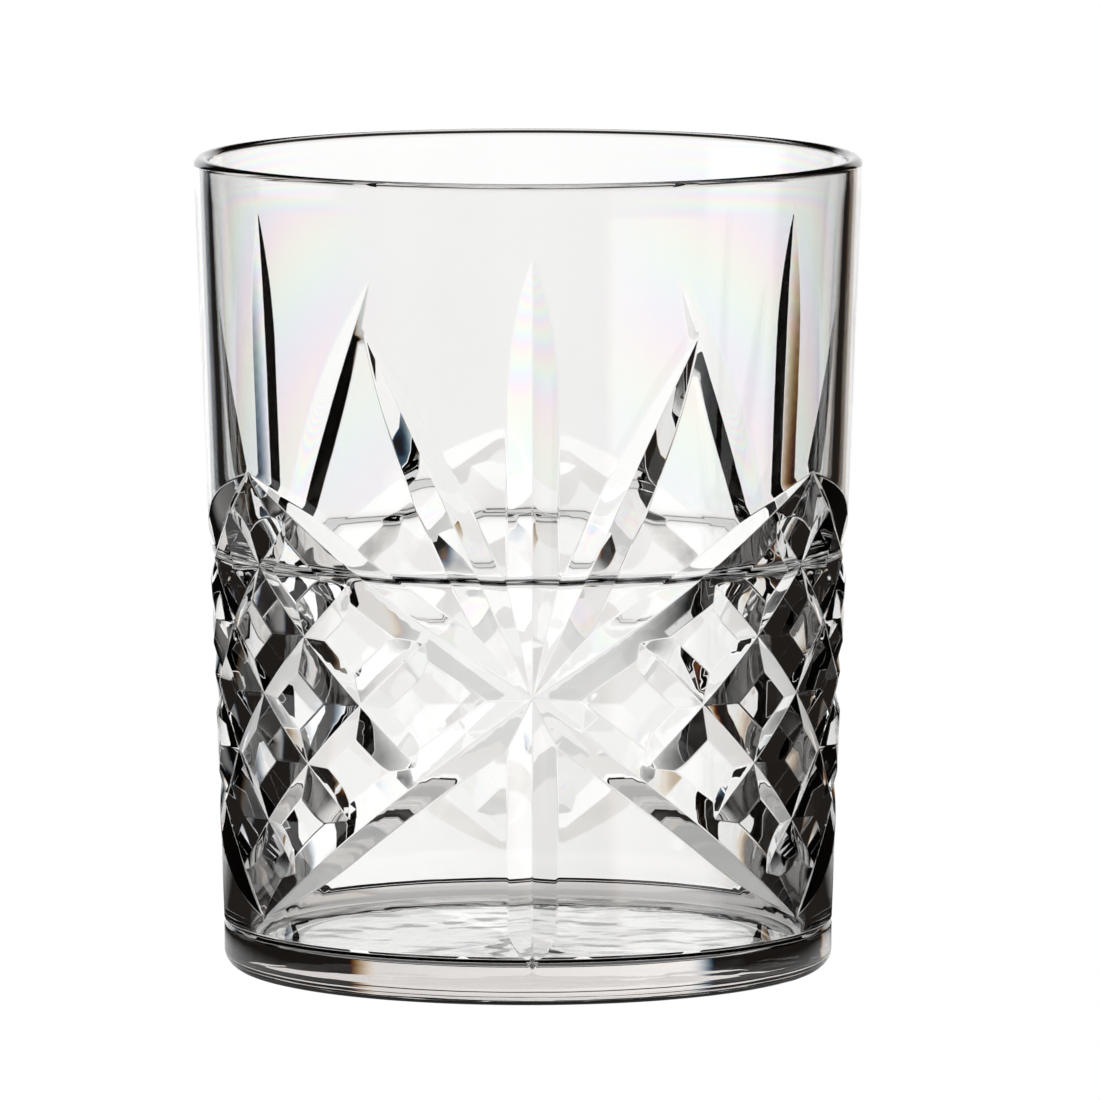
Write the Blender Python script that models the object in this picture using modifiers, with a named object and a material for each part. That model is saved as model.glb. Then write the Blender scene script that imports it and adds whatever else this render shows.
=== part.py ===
"""Whiskey tumbler: one turned glass body whose outer wall is cut with three stars and three hatched fields.

Metres, +Z up. The origin is the centre of the foot, on the surface that the tumbler stands on.
A front star faces -Y. The wall is cut by V-shaped blades that are straight on the unrolled wall.
"""

import bmesh
import bpy
from math import atan2, cos, hypot, pi, radians, sin, tan

MM = 0.001

# Outer wall and rim
HEIGHT = 100.0 * MM
RIM_OUTER_RADIUS = 41.0 * MM
RIM_WALL = 2.0 * MM

# Foot band, and the fine ring groove above it
FOOT_RADIUS = 37.4 * MM
FOOT_BAND_HEIGHT = 5.8 * MM
FOOT_EDGE_RADIUS = 2.4 * MM
RING_GROOVE_DEPTH = 0.4 * MM
RING_GROOVE_HALF_WIDTH = 0.4 * MM

# Underside, hollowed inside a flat contact ring
CONTACT_RING_WIDTH = 3.5 * MM
UNDERSIDE_RISE = 0.8 * MM
UNDERSIDE_SLOPE_WIDTH = 4.0 * MM

# Inside: a small ledge part of the way up, a thicker wall below it, and the floor
LEDGE_HEIGHT = 52.2 * MM
LEDGE_WIDTH = 1.1 * MM
LEDGE_DROP = 1.0 * MM
WALL_ABOVE_LEDGE = 2.25 * MM
WALL_AT_FLOOR = 3.2 * MM
FLOOR_THICKNESS = 4.4 * MM
FLOOR_CORNER_RADIUS = 1.8 * MM

# Grooves: half-width, facet tilt, and how far from a tapered end the bottom starts to rise
GROOVE_HALF_WIDTH = 3.1 * MM
FACET_TILT = radians(21.0)
GROOVE_DEPTH = GROOVE_HALF_WIDTH * tan(FACET_TILT)
FOOT_TAPER = 6.0 * MM
CROWN_TAPER = 18.0 * MM
STEEP_TAPER = 24.0 * MM
DIAGONAL_TAPER = 20.0 * MM
HATCH_TAPER = 6.0 * MM

# Blades: height above the wall, length past a tapered end, segment length, lift of a star's sloping blades
BLADE_CLEARANCE = 0.6 * MM
BLADE_OVERRUN = 1.8 * MM
BLADE_STEP = 6.0 * MM
BLADE_LIFT = 0.02 * MM
BAR_LENGTH = 1.0

# Layout on the unrolled wall, as an angle from the star's axis and a height
STARS = 3
STAR_PITCH = 2 * pi / STARS
FIRST_STAR_AZIMUTH = -pi / 2
HUB_HEIGHT = 37.6 * MM
VERTICAL_RAY_FOOT = 4.6 * MM
VERTICAL_RAY_TOP = 91.5 * MM
STEEP_RAY_ANGLE = radians(30.0)
STEEP_RAY_TOP = 81.4 * MM
UPPER_APEX_HEIGHT = 63.1 * MM
LOWER_APEX_HEIGHT = 8.4 * MM
HATCH_MIDDLE_HEIGHT = 36.0 * MM
HATCH_COLUMN = radians(13.15)
HATCH_ROW = 7.8 * MM

TURN_STEPS = 72
MERGE_DISTANCE = 0.00001
CORNER_SEGMENTS = 4
RIM_SEGMENTS = 6


def clear_scene():
    for obj in list(bpy.data.objects):
        bpy.data.objects.remove(obj, do_unlink=True)
    for collection in list(bpy.data.collections):
        bpy.data.collections.remove(collection)


def new_collection(name, hidden=False):
    collection = bpy.data.collections.new(name)
    collection.hide_render = hidden
    bpy.context.scene.collection.children.link(collection)
    return collection


def glass_material():
    material = bpy.data.materials.new("clear_glass")
    material.use_nodes = True
    shader = material.node_tree.nodes["Principled BSDF"]
    shader.inputs["Base Color"].default_value = (0.93, 0.94, 0.94, 1.0)
    shader.inputs["Roughness"].default_value = 0.02
    shader.inputs["Metallic"].default_value = 0.0
    shader.inputs["Transmission Weight"].default_value = 1.0
    shader.inputs["IOR"].default_value = 1.52
    return material


def outer_radius(height):
    """Radius of the uncut outer wall, a straight taper from the foot band to the rim."""
    share = (height - FOOT_BAND_HEIGHT) / (HEIGHT - RIM_WALL / 2 - FOOT_BAND_HEIGHT)
    return FOOT_RADIUS + (RIM_OUTER_RADIUS - FOOT_RADIUS) * share


def arc(centre_x, centre_z, radius, start, end, segments):
    """Points of an arc in the profile plane, between two angles from +X towards +Z."""
    angles = [start + (end - start) * i / segments for i in range(segments + 1)]
    return [(centre_x + radius * cos(a), centre_z + radius * sin(a)) for a in angles]


def inner_points():
    """Profile of the inside, from the middle of the floor up to the rim."""
    floor_radius = outer_radius(FLOOR_THICKNESS) - WALL_AT_FLOOR
    corner_x = floor_radius - FLOOR_CORNER_RADIUS
    corner_z = FLOOR_THICKNESS + FLOOR_CORNER_RADIUS
    ledge_radius = outer_radius(LEDGE_HEIGHT) - WALL_ABOVE_LEDGE
    ledge_foot = (ledge_radius - LEDGE_WIDTH, LEDGE_HEIGHT - LEDGE_DROP)
    points = [(0.0, FLOOR_THICKNESS)]
    points += arc(corner_x, corner_z, FLOOR_CORNER_RADIUS, -pi / 2, 0.0, CORNER_SEGMENTS)
    points += [ledge_foot, (ledge_radius, LEDGE_HEIGHT)]
    return points


def rim_points():
    """Full round of the rim, from its inner side over the top to its outer side."""
    radius = RIM_WALL / 2
    return arc(RIM_OUTER_RADIUS - radius, HEIGHT - radius, radius, pi, 0.0, RIM_SEGMENTS)


def outer_points():
    """Profile of the outside below the rim: ring groove, foot band, foot edge and hollowed underside."""
    groove_top = FOOT_BAND_HEIGHT + RING_GROOVE_HALF_WIDTH
    groove_bottom = FOOT_BAND_HEIGHT - RING_GROOVE_HALF_WIDTH
    contact_radius = FOOT_RADIUS - FOOT_EDGE_RADIUS
    hollow_radius = contact_radius - CONTACT_RING_WIDTH
    points = [
        (outer_radius(groove_top), groove_top),
        (FOOT_RADIUS - RING_GROOVE_DEPTH, FOOT_BAND_HEIGHT),
        (FOOT_RADIUS, groove_bottom),
    ]
    points += arc(contact_radius, FOOT_EDGE_RADIUS, FOOT_EDGE_RADIUS, 0.0, -pi / 2, CORNER_SEGMENTS)
    points += [(hollow_radius, 0.0), (hollow_radius - UNDERSIDE_SLOPE_WIDTH, UNDERSIDE_RISE)]
    points += [(0.0, UNDERSIDE_RISE)]
    return points


def turned_blank(collection, material):
    """The uncut tumbler: its profile, turned about Z."""
    points = inner_points() + rim_points() + outer_points()
    mesh = bpy.data.meshes.new("tumbler_body")
    verts = [(x, 0.0, z) for x, z in points]
    edges = [(i, i + 1) for i in range(len(points) - 1)]
    mesh.from_pydata(verts, edges, [])
    mesh.materials.append(material)
    body = bpy.data.objects.new("tumbler_body", mesh)
    collection.objects.link(body)
    screw = body.modifiers.new("turned", "SCREW")
    screw.axis = "Z"
    screw.angle = 2 * pi
    screw.steps = TURN_STEPS
    screw.render_steps = TURN_STEPS
    screw.use_merge_vertices = True
    screw.merge_threshold = MERGE_DISTANCE
    screw.use_smooth_shade = True
    return body


def groove_depth(along, length, start_taper, end_taper):
    """Depth of a groove's bottom line: even in the middle, and a parabola out through the wall at a tapered end."""
    depth = GROOVE_DEPTH
    for distance, taper in ((along, start_taper), (length - along, end_taper)):
        if taper and distance < taper:
            depth = min(depth, GROOVE_DEPTH * (1 - (1 - distance / taper) ** 2))
    return depth


def wrapped_blade(name, collection, azimuth, start, end, start_taper=0.0, end_taper=0.0, lift=0.0):
    """A three-sided bar laid edge down along a line of the unrolled wall, then wrapped to the wall.

    start and end are (angle, height) pairs. A tapered end runs out through the wall's surface.
    """
    middle_radius = outer_radius((start[1] + end[1]) / 2)
    run = middle_radius * (end[0] - start[0])
    rise = end[1] - start[1]
    length = hypot(run, rise)
    slope = atan2(rise, run)
    before = BLADE_OVERRUN if start_taper else 0.0
    after = BLADE_OVERRUN if end_taper else 0.0
    reach = length + before + after
    blade_height = GROOVE_DEPTH + BLADE_CLEARANCE
    half_width = blade_height / tan(FACET_TILT)

    bm = bmesh.new()
    bmesh.ops.create_cone(bm, cap_ends=True, segments=3, radius1=1.0, radius2=1.0, depth=BAR_LENGTH)
    long_edges = [e for e in bm.edges if abs(e.verts[0].co.z - e.verts[1].co.z) > BAR_LENGTH / 2]
    cuts = max(1, round(reach / BLADE_STEP) - 1)
    bmesh.ops.subdivide_edges(bm, edges=long_edges, cuts=cuts, use_grid_fill=True)
    edge_y = max(v.co.y for v in bm.verts)
    back_y = min(v.co.y for v in bm.verts)
    side_x = max(v.co.x for v in bm.verts)
    for vert in bm.verts:
        along = (vert.co.z / BAR_LENGTH + 1 / 2) * reach - before
        across = vert.co.x / side_x * half_width
        out = (edge_y - vert.co.y) / (edge_y - back_y) * blade_height
        depth = groove_depth(along, length, start_taper, end_taper) - lift
        arc_length = along * cos(slope) - across * sin(slope)
        height = start[1] + along * sin(slope) + across * cos(slope)
        angle = azimuth + start[0] + arc_length / middle_radius
        radius = outer_radius(height) - depth + out
        vert.co = (radius * cos(angle), radius * sin(angle), height)
    bm.normal_update()
    bmesh.ops.recalc_face_normals(bm, faces=bm.faces)
    mesh = bpy.data.meshes.new(name)
    bm.to_mesh(mesh)
    bm.free()
    blade = bpy.data.objects.new(name, mesh)
    blade.display_type = "WIRE"
    blade.hide_render = True
    collection.objects.link(blade)
    return blade


def star_blades(index, azimuth, collection):
    """Eight rays from one hub: up and down in one blade, two steep ones, and two pairs of diagonals."""
    hub = (0.0, HUB_HEIGHT)
    foot_end = (0.0, VERTICAL_RAY_FOOT)
    wrapped_blade(
        f"star_{index}_vertical", collection, azimuth, foot_end, (0.0, VERTICAL_RAY_TOP),
        start_taper=FOOT_TAPER, end_taper=CROWN_TAPER,
    )
    rays = {
        "steep": ((STEEP_RAY_ANGLE, STEEP_RAY_TOP), STEEP_TAPER),
        "upper": ((STAR_PITCH / 2, UPPER_APEX_HEIGHT), DIAGONAL_TAPER),
        "lower": ((STAR_PITCH / 2, LOWER_APEX_HEIGHT), DIAGONAL_TAPER),
    }
    for ray, ((angle, height), taper) in rays.items():
        for side, name in ((-1, "left"), (1, "right")):
            wrapped_blade(
                f"star_{index}_{ray}_{name}", collection, azimuth, hub, (side * angle, height),
                end_taper=taper, lift=BLADE_LIFT,
            )


def hatch_end(middle_angle, middle_height, apex_height):
    """Where a rising hatch line meets the star diagonal that runs to this apex: (angle, height).

    Angles are from the field's middle line, so the diagonal's hub is half a pitch away.
    """
    hatch_slope = HATCH_ROW / HATCH_COLUMN
    diagonal_slope = abs(HUB_HEIGHT - apex_height) / (STAR_PITCH / 2)
    angle = (apex_height - middle_height + hatch_slope * middle_angle) / (hatch_slope + diagonal_slope)
    return angle, middle_height + hatch_slope * (angle - middle_angle)


def hatch_blades(index, azimuth, collection):
    """Three blades each way across one field, each from one star's diagonal to the next star's."""
    for row in (-1, 0, 1):
        middle = (-row * HATCH_COLUMN, HATCH_MIDDLE_HEIGHT + row * HATCH_ROW)
        low_end = hatch_end(*middle, LOWER_APEX_HEIGHT)
        high_end = hatch_end(*middle, UPPER_APEX_HEIGHT)
        for side, name in ((1, "rising"), (-1, "falling")):
            wrapped_blade(
                f"hatch_{index}_{name}_{row + 2}", collection, azimuth,
                (side * low_end[0], low_end[1]), (side * high_end[0], high_end[1]),
                start_taper=HATCH_TAPER, end_taper=HATCH_TAPER,
            )


def main():
    clear_scene()
    tumbler = new_collection("tumbler")
    cutters = new_collection("cutters", hidden=True)
    body = turned_blank(tumbler, glass_material())
    for index in range(STARS):
        star_azimuth = FIRST_STAR_AZIMUTH + index * STAR_PITCH
        star_blades(index + 1, star_azimuth, cutters)
        hatch_blades(index + 1, star_azimuth + STAR_PITCH / 2, cutters)
    cut = body.modifiers.new("grooves", "BOOLEAN")
    cut.operation = "DIFFERENCE"
    cut.solver = "EXACT"
    cut.operand_type = "COLLECTION"
    cut.collection = cutters


main()
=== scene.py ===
"""Looks of the whiskey tumbler: one clear glass body with a pressed star-and-hatch pattern.

Metres, +Z up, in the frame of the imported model. A front star faces -Y.
"""
import logging
import math
from collections.abc import Callable
from dataclasses import dataclass, field
from enum import Enum, auto

import bpy
import numpy as np
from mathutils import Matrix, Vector
from mathutils.geometry import delaunay_2d_cdt


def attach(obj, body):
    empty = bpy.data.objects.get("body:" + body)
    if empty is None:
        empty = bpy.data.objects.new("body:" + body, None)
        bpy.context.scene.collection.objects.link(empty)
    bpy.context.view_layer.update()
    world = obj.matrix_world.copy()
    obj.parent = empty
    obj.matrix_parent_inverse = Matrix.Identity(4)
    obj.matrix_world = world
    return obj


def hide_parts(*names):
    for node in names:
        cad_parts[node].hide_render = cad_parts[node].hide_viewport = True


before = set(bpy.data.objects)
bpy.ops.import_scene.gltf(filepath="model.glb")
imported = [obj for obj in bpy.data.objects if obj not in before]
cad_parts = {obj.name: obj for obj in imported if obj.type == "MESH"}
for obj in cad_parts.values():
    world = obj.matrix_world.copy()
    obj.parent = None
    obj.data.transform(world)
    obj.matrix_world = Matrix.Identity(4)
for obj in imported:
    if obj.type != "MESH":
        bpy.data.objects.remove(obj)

LOG = logging.getLogger("tumbler")
MM = 0.001
BODY = "root"

WHITE = (1.0, 1.0, 1.0, 1.0)
LEVEL = (1.0, 1.0, 0.0)
LEFT = (-1.0, 0.0, 0.0)
BACK = (0.0, 1.0, 0.0)
MIX_FACTOR, MIX_FIRST, MIX_SECOND, MIX_RESULT = 0, 6, 7, 2
COLOURS = range(3)

Pair = tuple[float, float]
Triple = tuple[float, float, float]
Groove = tuple[Pair, Pair, Pair]


class Socket:
    """An output socket, or a number, that Python's operators join with Math nodes."""

    def __init__(self, bench: "NodeBench", source: "bpy.types.NodeSocket | float") -> None:
        """Wrap a node's output socket or a plain number, for the bench that its Math nodes go into."""
        self.bench = bench
        self.source = source

    def _join(self, operation: str, *others: "Socket | float") -> "Socket":
        """Return what one Math node of this operation gives on this value and the others."""
        inputs = dict(enumerate((self, *others)))
        return self.bench.node("ShaderNodeMath", {"operation": operation}, inputs)

    def __add__(self, other: "Socket | float") -> "Socket":
        """Return self + other."""
        return self._join("ADD", other)

    def __radd__(self, other: float) -> "Socket":
        """Return other + self."""
        return self._join("ADD", other)

    def __sub__(self, other: "Socket | float") -> "Socket":
        """Return self - other."""
        return self._join("SUBTRACT", other)

    def __rsub__(self, other: float) -> "Socket":
        """Return other - self."""
        return Socket(self.bench, other)._join("SUBTRACT", self)

    def __mul__(self, other: "Socket | float") -> "Socket":
        """Return self * other."""
        return self._join("MULTIPLY", other)

    def __rmul__(self, other: float) -> "Socket":
        """Return other * self."""
        return self._join("MULTIPLY", other)

    def __truediv__(self, other: "Socket | float") -> "Socket":
        """Return self / other."""
        return self._join("DIVIDE", other)

    def __rtruediv__(self, other: float) -> "Socket":
        """Return other / self."""
        return Socket(self.bench, other)._join("DIVIDE", self)

    def __abs__(self) -> "Socket":
        """Return the value without its sign."""
        return self._join("ABSOLUTE")

    def sine(self) -> "Socket":
        """Return the sine of the value, which is in radians."""
        return self._join("SINE")

    def maximum(self, other: "Socket | float") -> "Socket":
        """Return the larger of self and other."""
        return self._join("MAXIMUM", other)

    def smoothstep(self, low: float, high: float) -> "Socket":
        """Return a smooth rise from 0 at low to 1 at high."""
        inputs = {"Value": self, "From Min": low, "From Max": high}
        return self.bench.node("ShaderNodeMapRange", {"interpolation_type": "SMOOTHSTEP"}, inputs)

    def between(self, rise: Pair, fall: Pair) -> "Socket":
        """Return a bump that rises from 0 to 1 between two values and falls back between two others."""
        return self.smoothstep(*rise) * (1.0 - self.smoothstep(*fall))


class NodeBench:
    """Adds nodes to one node tree."""

    def __init__(self, tree: bpy.types.NodeTree) -> None:
        """Empty a node tree and hold it."""
        self.tree = tree
        tree.nodes.clear()

    def node(
        self,
        kind: str,
        settings: dict[str, object] | None = None,
        inputs: dict[str | int, object] | None = None,
        output: str | int = 0,
    ) -> Socket:
        """Add a node, set it up and wire its inputs.

        Args:
            kind: The node's type.
            settings: Properties that are set before the inputs, such as an operation.
            inputs: Values or wrapped sockets, by input name or index.
            output: The output to hand back, by name or index.

        Returns:
            The chosen output, wrapped; for a node with no outputs, a wrapper of 0.
        """
        node = self.tree.nodes.new(kind)
        for name, value in (settings or {}).items():
            setattr(node, name, value)
        for name, value in (inputs or {}).items():
            source = value.source if isinstance(value, Socket) else value
            if isinstance(source, bpy.types.NodeSocket):
                self.tree.links.new(source, node.inputs[name])
            else:
                node.inputs[name].default_value = source
        return Socket(self, node.outputs[output] if len(node.outputs) else 0.0)

    def coordinates(self, output: str) -> Socket:
        """Return one output of a Texture Coordinate node."""
        return self.node("ShaderNodeTexCoord", output=output)

    def noise(self, place: Socket, scale: float, detail: float) -> Socket:
        """Return a noise, about 0.5 on average, of a scale in blobs to the metre and so many octaves."""
        return self.node("ShaderNodeTexNoise", {}, {"Vector": place, "Scale": scale, "Detail": detail})

    def part(self, place: Socket, axis: str) -> Socket:
        """Return the X, Y or Z part of a vector."""
        return self.node("ShaderNodeSeparateXYZ", {}, {0: place}, axis)

    def vector(self, operation: str, *inputs: Socket | Triple) -> Socket:
        """Return the vector that a Vector Math operation gives on its inputs."""
        return self.node("ShaderNodeVectorMath", {"operation": operation}, dict(enumerate(inputs)))

    def measure(self, operation: str, *inputs: Socket | Triple) -> Socket:
        """Return the number that a Vector Math operation gives, such as a length or a dot product."""
        return self.node("ShaderNodeVectorMath", {"operation": operation}, dict(enumerate(inputs)), "Value")

    def mix(self, factor: Socket | float, first: object, second: object, blend: str = "MIX") -> Socket:
        """Blend two colours.

        Args:
            factor: The second colour's share.
            first: One colour.
            second: The other.
            blend: How they blend.

        Returns:
            The blend.
        """
        inputs = {MIX_FACTOR: factor, MIX_FIRST: first, MIX_SECOND: second}
        settings = {"data_type": "RGBA", "blend_type": blend}
        return self.node("ShaderNodeMix", settings, inputs, MIX_RESULT)

    def combine(self, parts: list[Socket]) -> Socket:
        """Return the colour that has these red, green and blue parts."""
        return self.node("ShaderNodeCombineColor", {}, dict(enumerate(parts)))


def empty_material(name: str) -> tuple[bpy.types.Material, NodeBench]:
    """Make a node material with nothing in it.

    Args:
        name: The material's name.

    Returns:
        The material, and the bench of its node tree.
    """
    material = bpy.data.materials.new(name)
    material.use_nodes = True
    return material, NodeBench(material.node_tree)


@dataclass(frozen=True)
class ClearGlass:
    """Fire-polished clear glass with faint mould waviness and slightly uneven gloss, and painted shade: a
    greyer base colour on the outside of the foot band.

    A scale is in blobs to the metre; a height is how far a noise of 1 would lift the surface.
    """

    tint: Triple = (0.985, 0.984, 0.98)
    tint_patch: Triple = (0.972, 0.97, 0.965)
    patch_scale: float = 28.0
    patch_detail: float = 2.0
    patch_edges: Pair = (0.35, 0.7)
    refraction: float = 1.52
    polish: float = 0.0
    haze: float = 0.012
    haze_edges: Pair = (0.45, 0.75)
    wave_scale: float = 55.0
    wave_detail: float = 1.0
    wave_height: float = 0.012 * MM
    ripple_scale: float = 330.0
    ripple_detail: float = 2.0
    ripple_height: float = 0.0012 * MM
    base_scale: float = 110.0
    base_detail: float = 1.5
    base_height: float = 0.12 * MM
    base_top: Pair = (5.0 * MM, 9.0 * MM)
    # Painted shade: the foot band's greyer base colour, and the radii and heights where it lies.
    foot_painted_shade: Triple = (0.7, 0.67, 0.65)
    foot_shade_radii: Pair = (35.5 * MM, 37.0 * MM)
    foot_shade_top: Pair = (5.2 * MM, 6.0 * MM)

    def _swell(self, bench: NodeBench, place: Socket, height: Socket) -> Socket:
        """Waviness of the surface: broad waves and fine ripples, and stronger streaks low in the base.

        Args:
            bench: The bench that the nodes go into.
            place: Object coordinates.
            height: Height above the foot.

        Returns:
            Lift of the surface, in metres.
        """
        wave = bench.noise(place, self.wave_scale, self.wave_detail)
        ripple = bench.noise(place, self.ripple_scale, self.ripple_detail)
        base = bench.noise(place, self.base_scale, self.base_detail)
        swell = wave * self.wave_height + ripple * self.ripple_height
        return swell + (base - 0.5) * (1.0 - height.smoothstep(*self.base_top)) * self.base_height

    def material(self, name: str) -> bpy.types.Material:
        """Make the glass's material, which is one Principled shader with full transmission and painted shade
        on the foot band.

        Args:
            name: The material's name.

        Returns:
            The new material.
        """
        material, bench = empty_material(name)
        place = bench.coordinates("Object")
        height = bench.part(place, "Z")
        bump = bench.node(
            "ShaderNodeBump",
            {},
            {"Height": self._swell(bench, place, height), "Distance": 1.0, "Strength": 1.0},
            "Normal",
        )
        patches = bench.noise(place, self.patch_scale, self.patch_detail)
        colour = bench.mix(
            patches.smoothstep(*self.patch_edges), (*self.tint, 1.0), (*self.tint_patch, 1.0)
        )
        # Painted shade: the base colour turns greyer low on the outside of the foot, where the foot band
        # shows darker.
        across = bench.measure("LENGTH", bench.vector("MULTIPLY", place, LEVEL))
        band = across.smoothstep(*self.foot_shade_radii) * (1.0 - height.smoothstep(*self.foot_shade_top))
        shader = bench.node(
            "ShaderNodeBsdfPrincipled",
            {},
            {
                "Base Color": bench.mix(band, colour, (*self.foot_painted_shade, 1.0)),
                "Roughness": patches.smoothstep(*self.haze_edges) * self.haze + self.polish,
                "IOR": self.refraction,
                "Transmission Weight": 1.0,
                "Normal": bump,
            },
        )
        bench.node("ShaderNodeOutputMaterial", {}, {"Surface": shader})
        return material


@dataclass(frozen=True)
class Window:
    """A soft-edged patch of light, by azimuth and by the sine of the elevation.

    Attributes:
        yaw: Azimuth of the middle, in degrees from +X towards +Y.
        half: Half-width of the full brightness, in degrees.
        rise: Sines of elevation between which the light comes in.
        fall: Sines of elevation between which it goes out.
        lift: Extra brightness above the horizon.
        lean: Extra brightness towards -X.
        softness: Width of the soft edge outside the full brightness, in degrees.
    """

    yaw: float
    half: float
    rise: Pair
    fall: Pair
    lift: float = 0.0
    lean: float = 0.0
    softness: float = 5.0


@dataclass(frozen=True)
class StudioLight:
    """White light from a few soft-edged windows, and near-darkness between them.

    Attributes:
        level: Brightness of a window at steep downward angles.
        far_gain: Extra brightness towards the horizon, which comes in over the sines in near_floor.
        horizon: Sines of elevation over which a window's own lift comes in.
        warmth: What the steep light has more or less of, by colour.
        dark: Brightness between the windows, by colour.
        fringe: Extra half-width of the windows by colour, in degrees.
        swing: Turn of the windows by colour, in degrees.
    """

    windows: tuple[Window, ...] = (
        Window(90.0, 22.0, (-0.42, -0.32), (0.18, 0.34), 0.14, 0.3),
        Window(180.0, 16.0, (-0.105, -0.08), (0.14, 0.26), 0.1),
        Window(135.0, 15.0, (-0.62, -0.54), (-0.34, -0.28)),
        Window(-45.0, 15.0, (-0.42, -0.34), (-0.18, -0.14)),
    )
    level: float = 0.86
    far_gain: float = 0.22
    near_floor: Pair = (-0.4, -0.08)
    horizon: Pair = (-0.09, 0.1)
    warmth: Triple = (0.024, 0.0, -0.02)
    dark: Triple = (0.0145, 0.012, 0.0105)
    fringe: Triple = (0.13, 0.0, -0.13)
    swing: Triple = (-0.3, 0.0, 0.3)

    def _shine(
        self, bench: NodeBench, window: Window, unit: Socket, rise: Socket, colour: int
    ) -> Socket:
        """Brightness of one window for one colour.

        Args:
            bench: The bench that the nodes go into.
            window: The window.
            unit: Level unit direction.
            rise: Sine of the elevation.
            colour: 0 for red, 1 for green, 2 for blue.

        Returns:
            Brightness.
        """
        yaw = math.radians(window.yaw + self.swing[colour])
        toward = bench.measure("DOT_PRODUCT", unit, (math.cos(yaw), math.sin(yaw), 0.0))
        full = window.half + self.fringe[colour]
        outer, inner = (math.cos(math.radians(angle)) for angle in (full + window.softness, full))
        warm = self.warmth[colour]
        gain = rise.smoothstep(*self.horizon) * window.lift
        gain = gain + rise.smoothstep(*self.near_floor) * (self.far_gain - warm)
        shine = toward.smoothstep(outer, inner) * rise.between(window.rise, window.fall)
        shine = shine * (gain + (self.level + warm))
        if window.lean:
            shine = shine * (bench.measure("DOT_PRODUCT", unit, LEFT) * window.lean + 1.0)
        return shine

    def colour(self, bench: NodeBench, way: Socket, rise: Socket) -> Socket:
        """Return the light's colour.

        Args:
            bench: The bench that the nodes go into.
            way: A direction, of any length; only its level part counts.
            rise: Sine of the elevation.

        Returns:
            The colour.
        """
        unit = bench.vector("NORMALIZE", bench.vector("MULTIPLY", way, LEVEL))
        parts = []
        for colour in COLOURS:
            glow = Socket(bench, self.dark[colour])
            for window in self.windows:
                glow = self._shine(bench, window, unit, rise, colour).maximum(glow)
            parts.append(glow)
        return bench.combine(parts)

    @staticmethod
    def to_the_eye(bench: NodeBench, glow: Socket) -> Socket:
        """Return plain white for what the camera sees directly, and the given glow for other rays."""
        seen = bench.node("ShaderNodeLightPath", output="Is Camera Ray")
        return bench.mix(seen, glow, WHITE)


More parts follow.
